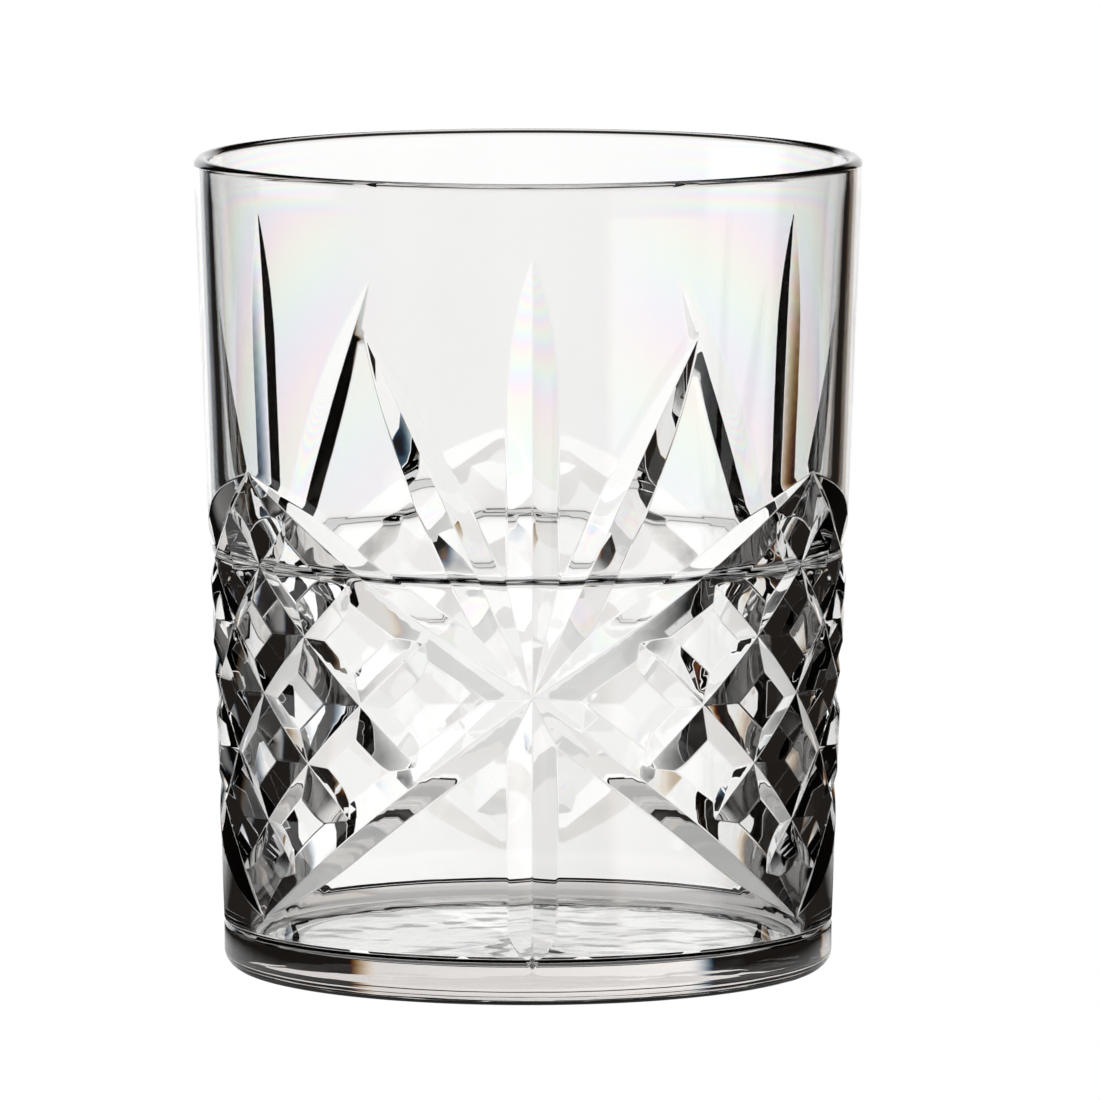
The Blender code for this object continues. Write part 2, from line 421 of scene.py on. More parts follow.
@dataclass(frozen=True)
class PaleSweep:
    """A pale, satin, glowing studio floor: even to the eye, but the glass sees it lit in patches.

    Far off, it glows where the windows do. Close in, a disc under the foot and a patch behind it glow by
    themselves, as painted light; the disc has a painted contact shadow, a darker ring where the front of the
    foot touches. Each pair is an interval over which something comes in or goes out. A reach is a distance
    from the axis in metres, a side the cosine of the angle to +Y.
    The prism is a faint rainbow on the far floor: its turns are radians for each unit of the sine of the
    angle to +Y and for each metre of reach, and its shift is the phase from one colour to the next.
    """

    colour: Triple = (0.05, 0.05, 0.05)
    roughness: float = 0.9
    under: Pair = (0.045, 0.06)
    under_glow: float = 0.66
    contact_rise: Pair = (0.028, 0.031)
    contact_fall: Pair = (0.037, 0.041)
    contact_side: Pair = (-0.4, 0.1)
    contact_shade: float = 0.8
    behind: Pair = (0.82, 0.92)
    near_rise: Pair = (0.034, 0.046)
    near_fall: Pair = (0.13, 0.16)
    near_glow: float = 0.82
    prism: float = 0.05
    prism_aside: Pair = (0.03, 0.08)
    prism_reach: Pair = (0.4, 0.6)
    prism_turns: Pair = (52.0, 24.0)
    prism_shift: float = 2.1
    light: StudioLight = field(default_factory=StudioLight)

    def _close_glow(self, bench: NodeBench, place: Socket, reach: Socket) -> Socket:
        """Brightness of the painted light of the disc under the foot and of the patch behind it, with a
        painted contact shadow.

        Args:
            bench: The bench that the nodes go into.
            place: Object coordinates.
            reach: Distance from the axis.

        Returns:
            Brightness.
        """
        side = bench.measure("DOT_PRODUCT", place, BACK) / reach
        patch = side.smoothstep(*self.behind) * reach.between(self.near_rise, self.near_fall)
        disc = (1.0 - reach.smoothstep(*self.under)) * self.under_glow
        # Painted contact shadow: a darker ring in the disc's glow where the front of the foot touches.
        contact = reach.between(self.contact_rise, self.contact_fall)
        contact = contact * (1.0 - side.smoothstep(*self.contact_side))
        return (patch * self.near_glow).maximum(disc * (1.0 - contact * self.contact_shade))

    def _prism_tint(self, bench: NodeBench, place: Socket, reach: Socket) -> Socket:
        """Colour of the faint rainbow bands: 1 plus a sine wave, shifted from one colour to the next.

        Args:
            bench: The bench that the nodes go into.
            place: Object coordinates.
            reach: Distance from the axis.

        Returns:
            A colour to multiply the light by.
        """
        aside = abs(bench.part(place, "X") / reach)
        strength = aside.smoothstep(*self.prism_aside) * reach.smoothstep(*self.prism_reach) * self.prism
        phase = aside * self.prism_turns[0] + reach * self.prism_turns[1]
        return bench.combine(
            [(phase + colour * self.prism_shift).sine() * strength + 1.0 for colour in COLOURS]
        )

    def material(self, name: str) -> bpy.types.Material:
        """Make the sweep's material, which glows by itself.

        Args:
            name: The material's name.

        Returns:
            The new material.
        """
        material, bench = empty_material(name)
        place = bench.coordinates("Object")
        facing = bench.node("ShaderNodeLayerWeight", {}, {"Blend": 0.5}, "Facing")
        reach = bench.measure("LENGTH", place)
        far = self.light.colour(bench, place, facing - 1.0)
        whole = bench.mix(1.0, far, self._close_glow(bench, place, reach), "LIGHTEN")
        lit = bench.vector("MULTIPLY", whole, self._prism_tint(bench, place, reach))
        shader = bench.node(
            "ShaderNodeBsdfPrincipled",
            {},
            {
                "Base Color": (*self.colour, 1.0),
                "Roughness": self.roughness,
                "Specular IOR Level": 0.0,
                "Emission Color": self.light.to_the_eye(bench, lit),
                "Emission Strength": 1.0,
            },
        )
        bench.node("ShaderNodeOutputMaterial", {}, {"Surface": shader})
        return material


class RayKind(Enum):
    """The slanting rays of a star, each of which comes in a left and a right copy."""

    STEEP = auto()
    UPPER = auto()
    LOWER = auto()


@dataclass
class CutPattern:
    """V-grooves laid as straight lines on the unrolled wall: stars, and hatched fields between them.

    A place on the unrolled wall is (arc, height): the angle from a star's axis times mean_radius, and z.
    One sector runs from a star's axis to the middle of the field beside it, and the rest mirrors it.
    A groove is (start, end, (start taper, end taper)), and a taper of 0 is a full-depth end.
    """

    stars: int = 3
    mean_radius: float = 39.2 * MM
    hub_height: float = 37.6 * MM
    groove_half_width: float = 3.1 * MM
    facet_tilt: float = math.radians(21.0)
    edge_softness: float = 0.022 * MM
    vertical_foot: float = 4.6 * MM
    vertical_top: float = 91.5 * MM
    steep_angle: float = math.radians(30.0)
    steep_top: float = 81.4 * MM
    upper_apex: float = 63.1 * MM
    lower_apex: float = 8.4 * MM
    hatch_middle: float = 36.0 * MM
    hatch_column: float = math.radians(13.15)
    hatch_row: float = 7.8 * MM
    foot_taper: float = 6.0 * MM
    crown_taper: float = 18.0 * MM
    steep_taper: float = 24.0 * MM
    diagonal_taper: float = 20.0 * MM
    hatch_taper: float = 6.0 * MM
    ring_height: float = 5.8 * MM
    ring_depth: float = 0.35 * MM
    ring_slope: float = 0.9
    sample_step: float = 0.45 * MM
    crease_levels: float = 3.0
    bottom_levels: float = 1.8
    ridge_reach: float = 16.0 * MM
    ridge_swing: float = 1.5 * MM
    halvings: int = 26
    parallel: float = 1e-6
    slope: float = field(init=False)
    depth: float = field(init=False)
    half_pitch: float = field(init=False)
    sector_arc: float = field(init=False)
    starts: np.ndarray = field(init=False)
    tapers: np.ndarray = field(init=False)
    lengths: np.ndarray = field(init=False)
    along: np.ndarray = field(init=False)
    across: np.ndarray = field(init=False)

    def __post_init__(self) -> None:
        """Lay out every groove that reaches the sector from 0 to half a star's pitch."""
        self.slope = math.tan(self.facet_tilt)
        self.depth = self.groove_half_width * self.slope
        self.half_pitch = math.pi / self.stars
        self.sector_arc = self.half_pitch * self.mean_radius
        stars = self._star_grooves(0.0) + self._star_grooves(2 * self.half_pitch)
        starts, ends, tapers = zip(*stars, *self._hatch_grooves())
        self.starts = np.array(starts)
        self.tapers = np.array(tapers)
        run = np.array(ends) - self.starts
        self.lengths = np.hypot(run[:, 0], run[:, 1])
        self.along = run / self.lengths[:, None]
        self.across = np.stack([-self.along[:, 1], self.along[:, 0]], axis=1)

    def _point(self, angle: float, height: float) -> Pair:
        """Return the unrolled place of an angle and a height."""
        return angle * self.mean_radius, height

    def _ray(self, kind: RayKind) -> Triple:
        """Look up the shape of a ray.

        Args:
            kind: The ray.

        Returns:
            Its angle from the star's axis, the height of its tip, and its taper.
        """
        return {
            RayKind.STEEP: (self.steep_angle, self.steep_top, self.steep_taper),
            RayKind.UPPER: (self.half_pitch, self.upper_apex, self.diagonal_taper),
            RayKind.LOWER: (self.half_pitch, self.lower_apex, self.diagonal_taper),
        }[kind]

    def _star_grooves(self, hub_angle: float) -> list[Groove]:
        """Lay out one star.

        Args:
            hub_angle: Angle of the star's axis.

        Returns:
            Its grooves.
        """
        hub = self._point(hub_angle, self.hub_height)
        foot = self._point(hub_angle, self.vertical_foot)
        crown = self._point(hub_angle, self.vertical_top)
        grooves = [(foot, crown, (self.foot_taper, self.crown_taper))]
        for kind in RayKind:
            angle, height, taper = self._ray(kind)
            for side in (-1, 1):
                tip = self._point(hub_angle + side * angle, height)
                grooves.append((hub, tip, (0.0, taper)))
        return grooves

    def _hatch_end(self, angle: float, height: float, apex: float) -> Pair:
        """Find where a rising hatch line meets the star diagonal that runs to an apex.

        Both are straight, so the place follows from their two slopes.

        Args:
            angle: Angle of a point on the line, from the field's middle.
            height: Height of that point.
            apex: Height of the diagonal's apex on the field's middle.

        Returns:
            Angle from the field's middle, and height.
        """
        hatch_slope = self.hatch_row / self.hatch_column
        diagonal_slope = abs(self.hub_height - apex) / self.half_pitch
        met = (apex - height + hatch_slope * angle) / (hatch_slope + diagonal_slope)
        return met, height + hatch_slope * (met - angle)

    def _hatch_grooves(self) -> list[Groove]:
        """Lay out the hatched field, three grooves each way.

        Returns:
            Its grooves.
        """
        grooves = []
        for row in (-1, 0, 1):
            middle = (-row * self.hatch_column, self.hatch_middle + row * self.hatch_row)
            low = self._hatch_end(*middle, self.lower_apex)
            high = self._hatch_end(*middle, self.upper_apex)
            for side in (1, -1):
                start = self._point(self.half_pitch + side * low[0], low[1])
                end = self._point(self.half_pitch + side * high[0], high[1])
                grooves.append((start, end, (self.hatch_taper, self.hatch_taper)))
        return grooves

    def _soft_drop(self, distance: np.ndarray, slope: float) -> np.ndarray:
        """Return slope * |distance|, rounded at 0: softness * log(2 cosh(slope * distance / softness))."""
        scaled = distance * slope / self.edge_softness
        return self.edge_softness * np.logaddexp(scaled, -scaled)

    @staticmethod
    def _tapered(left: np.ndarray, taper: np.ndarray) -> np.ndarray:
        """Share of its full depth that a groove has near an end: 1 - (1 - left / taper)^2, then 1.

        Args:
            left: Distances to the end.
            taper: Lengths of the taper; 0 for none.

        Returns:
            The share at each distance.
        """
        has_taper = taper > 0
        share = np.maximum(1 - left / np.where(has_taper, taper, 1.0), 0.0)
        return 1 - np.where(has_taper, share, 0.0) ** 2

    def levels(self, place: np.ndarray) -> np.ndarray:
        """Depth of each groove's facets at some places, with the ring groove as the last row.

        A groove's level is its bottom's depth less the facet slope times the distance from its line. Past an
        untapered end the distance is from the end point, which closes the groove with a cone.

        Args:
            place: Unrolled places, one row each.

        Returns:
            Levels, one row for each groove and one column for each place; negative outside a groove.
        """
        offset = place[None, :, :] - self.starts[:, None, :]
        travel = np.einsum("gpk,gk->gp", offset, self.along)
        beside = np.einsum("gpk,gk->gp", offset, self.across)
        behind = np.where(self.tapers[:, :1] > 0, 0.0, np.minimum(travel, 0.0))
        left = np.stack([travel, self.lengths[:, None] - travel])
        bottom = self.depth * self._tapered(left, self.tapers.T[:, :, None]).min(axis=0)
        cuts = bottom - self._soft_drop(np.hypot(beside, behind), self.slope)
        ring = self.ring_depth - self._soft_drop(place[:, 1] - self.ring_height, self.ring_slope)
        return np.vstack([cuts, ring])

    def cut_depth(self, place: np.ndarray) -> np.ndarray:
        """Depth of the cut wall: a soft maximum of 0 and every level.

        The formula is softness * log(1 + sum(exp(level / softness))).

        Args:
            place: Unrolled places, one row each.

        Returns:
            Depth below the plain wall at each place.
        """
        scaled = np.vstack([self.levels(place) / self.edge_softness, np.zeros(len(place))])
        return self.edge_softness * np.logaddexp.reduce(scaled, axis=0)

    def _others(self, place: np.ndarray, *own: int) -> np.ndarray:
        """Return the deepest level at each place among the grooves that aren't listed in own."""
        return np.delete(self.levels(place), own, axis=0).max(axis=0)

    def crease_lines(self) -> list[np.ndarray]:
        """Trace pairs of lines on both sides of every soft crease.

        Three kinds of crease: a groove's outer edges, where its level is 0; its bottom line; and the ridges
        between two grooves, where their levels are equal. Each is traced at a level a little to either side,
        and kept only where no other groove is deeper.

        Returns:
            Polylines of unrolled places.
        """
        margin = self.crease_levels * self.edge_softness
        count = len(self.starts)
        lines = [line for index in range(count) for line in self._edge_lines(index, margin)]
        for first in range(count):
            for second in range(first + 1, count):
                lines += self._ridge_lines(first, second, margin)
        return lines + self._ring_lines(margin)

    def _ring_lines(self, margin: float) -> list[np.ndarray]:
        """Trace the ring groove's edges and bottom line; see crease_lines.

        Args:
            margin: Level on either side of a crease.

        Returns:
            Polylines of unrolled places.
        """
        ring = len(self.starts)
        arcs = np.arange(0.0, self.sector_arc + self.sample_step, self.sample_step)
        bottom = self.bottom_levels * self.edge_softness
        offsets = [
            (side * (self.ring_depth - level), margin) for side in (-1, 1) for level in (margin, -margin)
        ]
        offsets += [(side * bottom, self.ring_depth) for side in (-1, 1)]
        lines = []
        for offset, most in offsets:
            height = self.ring_height + offset / self.ring_slope
            place = np.stack([arcs, np.full_like(arcs, height)], axis=1)
            lines += self._kept(place, self._others(place, ring) < most)
        return lines

    def _kept(self, place: np.ndarray, wanted: np.ndarray) -> list[np.ndarray]:
        """Split a line into the runs that are wanted and lie in the sector.

        Args:
            place: The line's places.
            wanted: Whether each place is kept.

        Returns:
            Runs of two places or more.
        """
        beyond = 2 * self.sample_step
        kept = wanted & (place[:, 0] > -beyond) & (place[:, 0] < self.sector_arc + beyond)
        ends = np.flatnonzero(np.diff(kept.astype(int))) + 1
        runs = np.split(np.arange(len(place)), ends)
        return [place[run] for run in runs if len(run) > 1 and kept[run[0]]]

    def _edge_lines(self, index: int, margin: float) -> list[np.ndarray]:
        """Trace a groove's outer edges and bottom line; see crease_lines.

        Args:
            index: The groove.
            margin: Level on either side of a crease.

        Returns:
            Polylines of unrolled places.
        """
        count = max(2, round(self.lengths[index] / self.sample_step))
        travel = np.linspace(0.0, self.lengths[index], count + 1)
        bottom = self._bottom_of(index, travel)
        base = self.starts[index] + travel[:, None] * self.along[index]
        lines = []
        for side in (-1, 1):
            for level in (margin, -margin):
                width = (bottom - level) / self.slope
                place = base + side * width[:, None] * self.across[index]
                lines += self._kept(place, (width > 0) & (self._others(place, index) < margin))
            near = side * self.bottom_levels * self.edge_softness / self.slope
            place = base + near * self.across[index]
            lines += self._kept(place, (bottom > margin) & (self._others(place, index) < bottom))
        return lines

    def _bottom_of(self, index: int, travel: np.ndarray) -> np.ndarray:
        """Return the depth of one groove's bottom line at some distances from its start; see levels."""
        left = np.stack([travel, self.lengths[index] - travel])
        return self.depth * self._tapered(left, self.tapers[index][:, None]).min(axis=0)

    def _ridge_lines(self, first: int, second: int, margin: float) -> list[np.ndarray]:
        """Trace the ridges between two grooves; see crease_lines.

        Their two bisectors start where their lines cross. From points along a bisector, the ridge is found
        across it by bisection of the difference between the two levels.

        Args:
            first: One groove.
            second: The other.
            margin: Difference in level on either side of the ridge.

        Returns:
            Polylines of unrolled places.
        """
        own_way, other_way = self.along[first], self.along[second]
        turn = own_way[0] * other_way[1] - own_way[1] * other_way[0]
        if abs(turn) < self.parallel:
            return []
        gap = self.starts[second] - self.starts[first]
        reach = (gap[0] * other_way[1] - gap[1] * other_way[0]) / turn
        crossing = self.starts[first] + reach * own_way
        slack = self.groove_half_width
        for index in (first, second):
            travel = (crossing - self.starts[index]) @ self.along[index]
            if not -slack < travel < self.lengths[index] + slack:
                return []
        lines = []
        for sign in (-1, 1):
            way = own_way + sign * other_way
            way /= np.hypot(*way)
            side = np.array([-way[1], way[0]])
            steps = np.arange(-self.ridge_reach, self.ridge_reach, self.sample_step)
            base = crossing + steps[:, None] * way
            for level in (margin, -margin):
                low = np.full(len(base), -self.ridge_swing)
                high = -low
                rising = self._difference(base + high[:, None] * side, first, second, level) > 0
                falling = self._difference(base + low[:, None] * side, first, second, level) > 0
                for _ in range(self.halvings):
                    middle = (low + high) / 2
                    above = self._difference(base + middle[:, None] * side, first, second, level) > 0
                    high = np.where(above == rising, middle, high)
                    low = np.where(above == rising, low, middle)
                place = base + low[:, None] * side
                own = self.levels(place)[first]
                wanted = (rising != falling) & (own > -margin)
                lines += self._kept(place, wanted & (self._others(place, first, second) < own))
        return lines

    def _difference(
        self, place: np.ndarray, first: int, second: int, level: float
    ) -> np.ndarray:
        """Return how far the first groove's level is above the second's, less a given difference."""
        levels = self.levels(place)
        return levels[first] - levels[second] - level


def slope_of(
    function: Callable[[np.ndarray], np.ndarray], at: np.ndarray, step: float | np.ndarray
) -> np.ndarray:
    """Slope of a function by central difference.

    Args:
        function: The function.
        at: Where the slope is taken.
        step: A small step; for places with two coordinates, along one of them.

    Returns:
        The slope at each place.
    """
    return (function(at + step) - function(at - step)) / (2 * np.max(step))


def unit_rows(ways: np.ndarray) -> np.ndarray:
    """Return the rows scaled to length 1."""
    return ways / np.linalg.norm(ways, axis=1)[:, None]


def steps_to(start: float, end: float, count: int) -> np.ndarray:
    """Return the ends of so many equal steps from start to end, without start itself."""
    return np.linspace(start, end, count + 1)[1:]


@dataclass
class TumblerBody:
    """The whole tumbler: patterned outer wall, rim, inside with its ledge, foot and underside."""

    height: float = 100.0 * MM
    rim_radius: float = 41.0 * MM
    rim_wall: float = 2.0 * MM
    foot_radius: float = 37.4 * MM
    foot_band: float = 5.8 * MM
    foot_edge: float = 2.4 * MM
    contact_width: float = 3.5 * MM
    underside_rise: float = 0.8 * MM
    underside_slope: float = 4.0 * MM
    ledge_height: float = 51.7 * MM
    ledge_width: float = 1.1 * MM
    ledge_softness: float = 0.42 * MM
    wall_above_ledge: float = 2.25 * MM
    wall_at_floor: float = 3.2 * MM
    floor: float = 4.4 * MM
    floor_corner: float = 1.8 * MM
    columns: int = 60
    grid_step: float = 1.05 * MM
    stagger: float = 0.25
    clearance: float = 0.32 * MM
    block: int = 500
    weld_mm: float = 1e-4
    snap: float = 0.002 * MM
    slope_step: float = 0.004 * MM
    profile_step: float = 0.01 * MM
    ledge_zone: float = 2.0 * MM
    wall_steps: tuple[int, int, int] = (12, 36, 12)
    rim_steps: int = 18
    corner_steps: int = 10
    floor_steps: int = 5
    underside_steps: tuple[int, int] = (10, 4)
    pattern: CutPattern = field(default_factory=CutPattern)
    finish: ClearGlass = field(default_factory=ClearGlass)

    def outer_radius(self, height: np.ndarray) -> np.ndarray:
        """Return the plain wall's radius: even along the foot band, then a straight taper to the rim."""
        share = (height - self.foot_band) / (self.wall_top - self.foot_band)
        return self.foot_radius + (self.rim_radius - self.foot_radius) * np.maximum(share, 0.0)

    def inner_radius(self, height: np.ndarray) -> np.ndarray:
        """Radius of the inside: two straight tapers joined by a soft step, the ledge.

        The step is half of 1 + tanh((height - ledge height) / softness) times the gap between the tapers.

        Args:
            height: Heights above the foot.

        Returns:
            Radius at each height.
        """
        rim = (self.wall_top, self.rim_radius - self.rim_wall)
        ledge_radius = float(self.outer_radius(self.ledge_height)) - self.wall_above_ledge
        upper = (self.ledge_height, ledge_radius)
        lower = (self.ledge_height, ledge_radius - self.ledge_width)
        floor_radius = float(self.outer_radius(self.floor)) - self.wall_at_floor
        corner = (self.floor + self.floor_corner, floor_radius)
        above = upper[1] + (rim[1] - upper[1]) * (height - upper[0]) / (rim[0] - upper[0])
        below = corner[1] + (lower[1] - corner[1]) * (height - corner[0]) / (lower[0] - corner[0])
        rise = 0.5 + 0.5 * np.tanh((height - self.ledge_height) / self.ledge_softness)
        return below + (above - below) * rise

    @property
    def wall_top(self) -> float:
        """Height where the wall ends and the rim's arc starts."""
        return self.height - self.rim_wall / 2

    @property
    def wall_rows(self) -> int:
        """Number of grid rows between the wall's ends."""
        return round((self.wall_top - self.foot_edge) / self.grid_step)

    def _grid(self, drawn: np.ndarray) -> np.ndarray:
        """Lay a staggered grid over the sector.

        Args:
            drawn: Places on the crease lines, which the grid stays clear of.

        Returns:
            The grid's places.
        """
        wide, rows = self.pattern.sector_arc, self.wall_rows
        columns = round(wide / self.grid_step)
        across, up = np.meshgrid(np.arange(1, columns), np.arange(1, rows), indexing="ij")
        stagger = np.where(up % 2 == 0, self.stagger, -self.stagger)
        arc = (across + stagger) / columns * wide
        height = self.foot_edge + up / rows * (self.wall_top - self.foot_edge)
        grid = np.stack([arc, height], axis=-1).reshape(-1, 2)
        clear = np.ones(len(grid), bool)
        for block in np.array_split(drawn, max(1, len(drawn) // self.block)):
            apart = np.hypot(*(grid[:, None, :] - block[None, :, :]).transpose(2, 0, 1))
            clear &= apart.min(axis=1) > self.clearance
        return grid[clear]

    def _border(self) -> np.ndarray:
        """Space places along the sector's edge: columns of steps along its ends, rows up its sides.

        Returns:
            The places, anticlockwise from the lower left corner.
        """
        wide, low, high = self.pattern.sector_arc, self.foot_edge, self.wall_top
        rail = np.linspace(low, high, self.wall_rows + 1)[1:-1]
        rungs = np.arange(self.columns + 1) / self.columns * wide
        return np.concatenate([
            np.stack([rungs, np.full_like(rungs, low)], axis=1),
            np.stack([np.full_like(rail, wide), rail], axis=1),
            np.stack([rungs[::-1], np.full_like(rungs, high)], axis=1),
            np.stack([np.zeros_like(rail), rail[::-1]], axis=1),
        ])

    def _sector(self) -> tuple[np.ndarray, np.ndarray]:
        """Mesh one unrolled sector so that every crease of the pattern lies along mesh edges.

        A staggered grid of places fills the plain stretches, and the pattern's crease lines are constraints
        of a Delaunay triangulation. A plain grid would show each slanting crease as a staircase.

        Returns:
            Unrolled places, and triangles as rows of place numbers.
        """
        low, high, wide = self.foot_edge, self.wall_top, self.pattern.sector_arc
        lines = self.pattern.crease_lines()
        border = self._border()
        places = [border, self._grid(np.concatenate(lines))]
        ring = np.arange(len(border))
        edges = [np.stack([ring, np.roll(ring, -1)], axis=1)]
        count = sum(map(len, places))
        for line in lines:
            number = count + np.arange(len(line))
            edges.append(np.stack([number[:-1], number[1:]], axis=1))
            places.append(line)
            count += len(line)
        flat = [Vector(place) for place in (np.concatenate(places) / MM).tolist()]
        made = delaunay_2d_cdt(flat, np.concatenate(edges).tolist(), [], 0, self.weld_mm)
        place = np.array([point[:] for point in made[0]]) * MM
        faces = np.array([face[:] for face in made[2]])
        arc, height = place[faces].mean(axis=1).T
        faces = faces[(arc > 0) & (arc < wide) & (height > low) & (height < high)]
        used, faces = np.unique(faces, return_inverse=True)
        place = place[used]
        for edge, axis in ((0.0, 0), (wide, 0), (low, 1), (high, 1)):
            place[np.abs(place[:, axis] - edge) < self.snap, axis] = edge
        return place, faces.reshape(-1, 3)

    def _shared_numbers(self, place: np.ndarray) -> np.ndarray:
        """Number the places of every copy of the sector, with one number where two copies meet.

        Args:
            place: The sector's places.

        Returns:
            Vertex numbers, one row for each copy.
        """
        copies, count = 2 * self.pattern.stars, len(place)
        on_axis = place[:, 0] == 0.0
        on_middle = place[:, 0] == self.pattern.sector_arc
        numbers = np.arange(copies * count).reshape(copies, count)
        for copy in range(1, copies):
            shared = on_middle if copy % 2 else on_axis
            numbers[copy, shared] = numbers[copy - 1, shared]
        numbers[copies - 1, on_axis] = numbers[0, on_axis]
        return numbers

    def _wall(self) -> tuple[np.ndarray, np.ndarray, np.ndarray, np.ndarray, np.ndarray]:
        """Wrap and repeat the sector round the axis.

        Every second copy is mirrored, so neighbours share the places on their common edge. A place moves in
        by the pattern's depth, and its normal comes from that depth's slopes.

        Returns:
            Vertices, normals, triangles, and the vertex numbers of the wall's lower and upper ends, one for
            each column.
        """
        place, faces = self._sector()
        pattern = self.pattern
        nudge = self.slope_step
        height = place[:, 1]
        radius = self.outer_radius(height) - pattern.cut_depth(place)
        arc_slope = slope_of(pattern.cut_depth, place, np.array([nudge, 0.0]))
        height_slope = slope_of(pattern.cut_depth, place, np.array([0.0, nudge]))
        turn = place[:, 0] / pattern.mean_radius
        out_turn = arc_slope * pattern.mean_radius / radius
        out_up = height_slope - slope_of(self.outer_radius, height, nudge)

        numbers = self._shared_numbers(place)
        verts, normals, tris = [], [], []
        for copy, own in enumerate(numbers):
            side = -1.0 if copy % 2 else 1.0
            angle = (copy + copy % 2) * pattern.half_pitch - math.pi / 2 + side * turn
            cosine, sine = np.cos(angle), np.sin(angle)
            swing = side * out_turn
            verts.append(np.stack([radius * cosine, radius * sine, height], axis=1))
            normals.append(np.stack([cosine - swing * sine, sine + swing * cosine, out_up], axis=1))
            tris.append(own[faces if side > 0 else faces[:, ::-1]])
        rings = []
        for edge in (height.min(), height.max()):
            row = np.flatnonzero(height == edge)
            row = row[np.argsort(place[row, 0])]
            rings.append(np.concatenate([
                own[row[::-1] if copy % 2 else row][:-1] for copy, own in enumerate(numbers)
            ]))
        vert, normal = np.concatenate(verts), unit_rows(np.concatenate(normals))
        return vert, normal, np.concatenate(tris), rings[0], rings[1]

    @staticmethod
    def _arc(centre: Pair, radius: float, end: float, count: int) -> np.ndarray:
        """Points and outward normals of an arc in the profile plane, without its first point on +X.

        Args:
            centre: Centre (x, z).
            radius: Radius; negative where the surface faces the centre.
            end: Last angle, from +X towards +Z.
            count: Number of steps.

        Returns:
            Rows of (x, z, normal x, normal z).
        """
        angle = steps_to(0.0, end, count)
        way = np.stack([np.cos(angle), np.sin(angle)], axis=1)
        return np.hstack([np.array(centre) + abs(radius) * way, math.copysign(1.0, radius) * way])

    @staticmethod
    def _flat(radius: float, height: float, facing: float, count: int) -> np.ndarray:
        """Points and normals of a level stretch from a radius to the axis, without its first point.

        Args:
            radius: Radius that it starts from.
            height: Its height.
            facing: 1 where it faces up, -1 where it faces down.
            count: Number of steps.

        Returns:
            Rows of (x, z, normal x, normal z).
        """
        reach = steps_to(radius, 0.0, count)
        return np.stack([reach, *(np.full_like(reach, value) for value in (height, 0.0, facing))], axis=1)

    def _inside_profile(self) -> np.ndarray:
        """Draw the profile from the wall's upper end over the rim and down to the middle of the floor.

        Returns:
            Rows of (x, z, normal x, normal z).
        """
        lip = self.rim_wall / 2
        top, bottom = self.wall_top, self.floor + self.floor_corner
        rim = self._arc((self.rim_radius - lip, top), lip, math.pi, self.rim_steps)
        stops = (top, self.ledge_height + self.ledge_zone, self.ledge_height - self.ledge_zone, bottom)
        heights = np.concatenate([
            steps_to(start, end, count) for start, end, count in zip(stops, stops[1:], self.wall_steps)
        ])
        lean = slope_of(self.inner_radius, heights, self.profile_step)
        normal = unit_rows(np.stack([-np.ones_like(lean), lean], axis=1))
        wall = np.hstack([np.stack([self.inner_radius(heights), heights], axis=1), normal])
        reach = float(self.inner_radius(bottom)) - self.floor_corner
        corner = self._arc((reach, bottom), -self.floor_corner, -math.pi / 2, self.corner_steps)
        return np.vstack([rim, wall, corner, self._flat(reach, self.floor, 1.0, self.floor_steps)])

    def _foot_profile(self) -> np.ndarray:
        """Draw the profile from the wall's lower end round the foot edge and under to the middle.

        The hollow's side rises by half of 1 - cos(pi * share) times the hollow's depth.

        Returns:
            Rows of (x, z, normal x, normal z).
        """
        contact = self.foot_radius - self.foot_edge
        edge = self._arc((contact, self.foot_edge), self.foot_edge, -math.pi / 2, self.corner_steps)
        hollow = contact - self.contact_width
        side_steps, under_steps = self.underside_steps
        share = np.linspace(0.0, 1.0, side_steps + 1)
        rise = self.underside_rise * (0.5 - 0.5 * np.cos(np.pi * share))
        side = np.stack([hollow - share * self.underside_slope, rise], axis=1)
        tangent = np.gradient(side, axis=0)
        normal = unit_rows(np.stack([-tangent[:, 1], tangent[:, 0]], axis=1))
        normal[[0, -1]] = (0.0, -1.0)
        under = self._flat(hollow - self.underside_slope, self.underside_rise, -1.0, under_steps)
        return np.vstack([edge, np.hstack([side, normal]), under])

